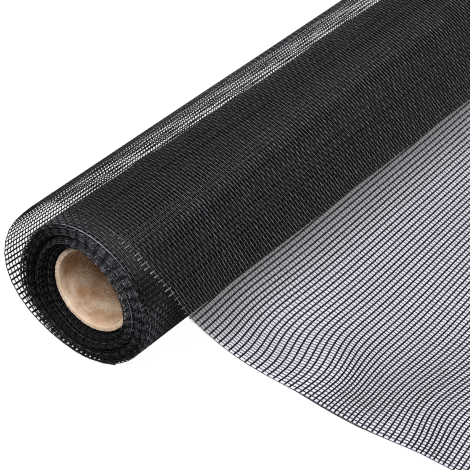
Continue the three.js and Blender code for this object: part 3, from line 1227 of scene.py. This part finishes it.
@dataclass
class PaperCore:
    """The paperboard tube that the screen is wound on."""

    place: Place
    outer: float = 15.0
    wall: float = 1.75
    length: float = 600.0
    edge_round: float = 0.35
    edge_steps: int = 5
    rounds: int = 192
    inside_steps: int = 40
    outside_steps: int = 12
    # How far in from its cut ends the tube is paler, in times their rounding.
    pale_rim: float = 1.2
    # The rim is uneven by waves round it, lower by the root of their number, and is even this far along.
    uneven: float = 0.1
    fewest_waves: int = 2
    most_waves: int = 59
    uneven_until: float = 3.0
    seed: int = 5

    def shell(self, finish: SpiralPaperboard) -> Shell:
        """A tube's section carried round the axis, with a worn, slightly uneven rim.

        The section goes along the bore, round the cut rim, back along the outside and round the far rim. The
        rim's points move along the roll by a few sines of the angle, so it isn't perfectly square.

        Args:
            finish: the paperboard, for the width of its strips.

        Returns:
            The shell.
        """
        random = np.random.default_rng(self.seed)
        bore, outer, hold = self.outer - self.wall, self.outer, self.uneven_until
        bend = np.linspace(0, np.pi / 2, self.edge_steps)
        starts, stops = (self.edge_round * (1 - wave) for wave in (np.cos(bend), np.sin(bend)))
        rim = np.concatenate([bore + starts, [(bore + outer) / 2], outer - stops])
        rim_y = np.concatenate([stops, [0.0], starts])
        inside = np.linspace(self.length - hold, hold, self.inside_steps)
        outside = np.linspace(hold, self.length - hold, self.outside_steps)
        walls = np.full(self.inside_steps, bore), np.full(self.outside_steps, outer)
        radius = np.concatenate([walls[0], rim, walls[1], rim[::-1]])
        y = np.concatenate([inside, rim_y, outside, self.length - rim_y[::-1]])
        angle = np.linspace(0, 2 * np.pi, self.rounds, endpoint=False)[:, None]
        waves = np.arange(self.fewest_waves, self.most_waves + 1)
        size = self.uneven * random.normal(0, 1, len(waves)) / np.sqrt(waves)
        phase = random.uniform(0, 2 * np.pi, len(waves))
        worn = np.abs((size * np.sin(waves * angle + phase)).sum(1, keepdims=True))
        shift = worn * (np.clip(1 - y / hold, 0, 1) - np.clip(1 - (self.length - y) / hold, 0, 1))
        points = np.stack([radius * np.cos(angle), y + shift, radius * np.sin(angle)], axis=-1)
        turn = np.linspace(0, 1, self.rounds + 1)[:, None]
        run = np.concatenate([y, y[:1]]) / finish.strip_width
        made = Shell.on_grids(points[None], np.stack(np.broadcast_arrays(turn, run), axis=-1)[None])
        # The cut rim is paler than the faces.
        cut = np.minimum(y, self.length - y) < self.pale_rim * self.edge_round
        made.tone = np.broadcast_to(cut.astype(float), shift.shape).ravel()
        return made

    def build(self, finish: SpiralPaperboard) -> list[bpy.types.Object]:
        """Makes the core.

        Args:
            finish: the paperboard.

        Returns:
            The piece made.
        """
        made = self.shell(finish).to_object("paper_core", self.place, finish.material())
        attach(made, BODY)
        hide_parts("core")
        return [made]


@dataclass
class Studio:
    """Plain pale floor, soft light and the camera at the photograph's angle."""

    place: Place
    # The camera's place in the roll's millimetres, its lens in millimetres and its angles in degrees.
    eye: tuple[float, float, float] = (404.6, -453.7, 373.1)
    lens: float = 174.0
    sensor: float = 36.0
    heading: float = 52.6
    elevation: float = 30.44
    roll: float = 3.21
    clip: Span = (0.05, 50.0)
    floor_size: float = 12.0
    # The soft box: the point that it faces, the way to it, its distance and size in metres, and its watts.
    lit_point: tuple[float, float, float] = (40.0, 100.0, 0.0)
    light_towards: tuple[float, float, float] = (0.25, -0.6, 0.75)
    light_away: float = 1.6
    light_size: Span = (1.6, 0.7)
    light_power: float = 32.0
    # The walls' colour, how bright they are, and between which parts of a direction that changes.
    wall_colour: str = "#f8fafd"
    sides: Span = (1.65, 0.12)
    side_over: Span = (-0.4, 0.3)
    ahead: float = 0.15
    ahead_over: Span = (-0.85, -0.5)
    below: float = 0.12
    below_over: Span = (-0.3, 0.0)
    pixel_filter: float = 1.1

    def camera(self) -> None:
        """Places the camera by its heading from the x axis, its elevation and its roll."""
        turn, rise, roll = (math.radians(v) for v in (self.heading, self.elevation, self.roll))
        flat = Vector((-math.cos(turn), math.sin(turn), 0))
        right = Vector((math.sin(turn), math.cos(turn), 0))
        up = Vector((0, 0, 1))
        forward = flat * math.cos(rise) - up * math.sin(rise)
        down = -(up * math.cos(rise) + flat * math.sin(rise))
        across = right * math.cos(roll) + down * math.sin(roll)
        below = down * math.cos(roll) - right * math.sin(roll)
        data = bpy.data.cameras.new("camera")
        data.lens, data.sensor_width = self.lens, self.sensor
        data.clip_start, data.clip_end = self.clip
        made = bpy.data.objects.new("camera", data)
        matrix = Matrix((across, -below, -forward)).transposed().to_4x4()
        matrix.translation = Vector(self.place.metres(np.array(self.eye)))
        made.matrix_world = matrix
        bpy.context.scene.collection.objects.link(made)
        bpy.context.scene.camera = made

    def floor(self) -> None:
        """Lays one wide sheet of white paper under the roll."""
        half = self.floor_size / 2
        mesh = bpy.data.meshes.new("floor")
        corners = [(-half, -half, 0), (half, -half, 0), (half, half, 0), (-half, half, 0)]
        mesh.from_pydata(corners, [], [(0, 1, 2, 3)])
        mesh.materials.append(WhitePaper(self.place).material())
        floor = bpy.data.objects.new("floor", mesh)
        bpy.context.scene.collection.objects.link(floor)
        # It is only a ground: it isn't mirrored in the threads and doesn't light the roll from below.
        floor.visible_glossy = False
        floor.visible_diffuse = False

    def key_light(self) -> None:
        """Adds one soft box that faces the roll."""
        data = bpy.data.lights.new("key_light", "AREA")
        data.shape, data.energy = "RECTANGLE", self.light_power
        data.size, data.size_y = self.light_size
        made = bpy.data.objects.new("key_light", data)
        way = Vector(self.light_towards).normalized()
        made.location = Vector(self.place.metres(np.array(self.lit_point))) + way * self.light_away
        made.rotation_mode = "QUATERNION"
        made.rotation_quaternion = way.to_track_quat("Z", "Y")
        bpy.context.scene.collection.objects.link(made)

    def walls(self) -> None:
        """Pale walls, bright beside and above the roll's near end, dim straight ahead, behind and below.

        A direction's brightness rises by a smooth step of its y from straight ahead to the near side, and
        falls by another to the far side. By one of its z it rises from below.
        """
        world = bpy.data.worlds.new("studio_walls")
        world.use_nodes = True
        tree = world.node_tree
        tree.nodes.clear()
        where = add_node(tree, "TexCoord", gives="Generated")
        way = add_node(tree, "SeparateXYZ", [where]).node.outputs
        side = add_node(tree, "MapRange", [way["Y"], *self.side_over, *self.sides], **SMOOTH)
        ahead = add_node(tree, "MapRange", [way["Y"], *self.ahead_over, self.ahead, 1.0], **SMOOTH)
        level = add_node(tree, "Math", [side, ahead], operation="MULTIPLY")
        bright = add_node(tree, "MapRange", [way["Z"], *self.below_over, self.below, level], **SMOOTH)
        light = add_node(tree, "Background", {"Color": linear(self.wall_colour), "Strength": bright})
        add_node(tree, "OutputWorld", {"Surface": light})
        bpy.context.scene.world = world

    def build(self) -> None:
        """Sets up the whole studio."""
        self.camera()
        self.floor()
        self.key_light()
        self.walls()
        scene = bpy.context.scene
        scene.view_settings.view_transform = "Standard"
        # Threads about a pixel wide keep their edges only without a denoiser and with a narrow pixel filter.
        scene.cycles.use_denoising = False
        scene.cycles.filter_width = self.pixel_filter


def main() -> None:
    """Builds the roll piece by piece, then the studio, and reports each piece."""
    logging.basicConfig(level=logging.INFO, format="%(name)s: %(message)s", stream=sys.stdout)
    place = Place.of_core()
    yarn = PvcCoatedYarn().material()
    # At the ends the yarn is a copy with less gleam, as painted shade: the turns lie so close there that
    # little light comes back from between them.
    edges = PvcCoatedYarn("pvc_coated_yarn_painted_shade", specular=0.2, roughness=(0.5, 0.65))
    packed = PackedTurns().material()
    made = PaperCore(place).build(SpiralPaperboard())
    made += WoundScreen(place).build(yarn, edges.material(), packed)
    made += LooseScreen(place).build(yarn)
    for piece in made:
        piece.data.calc_loop_triangles()
        LOG.info("%s: %d triangles", piece.name, len(piece.data.loop_triangles))
    Studio(place).build()


if __name__ == "__main__":
    main()
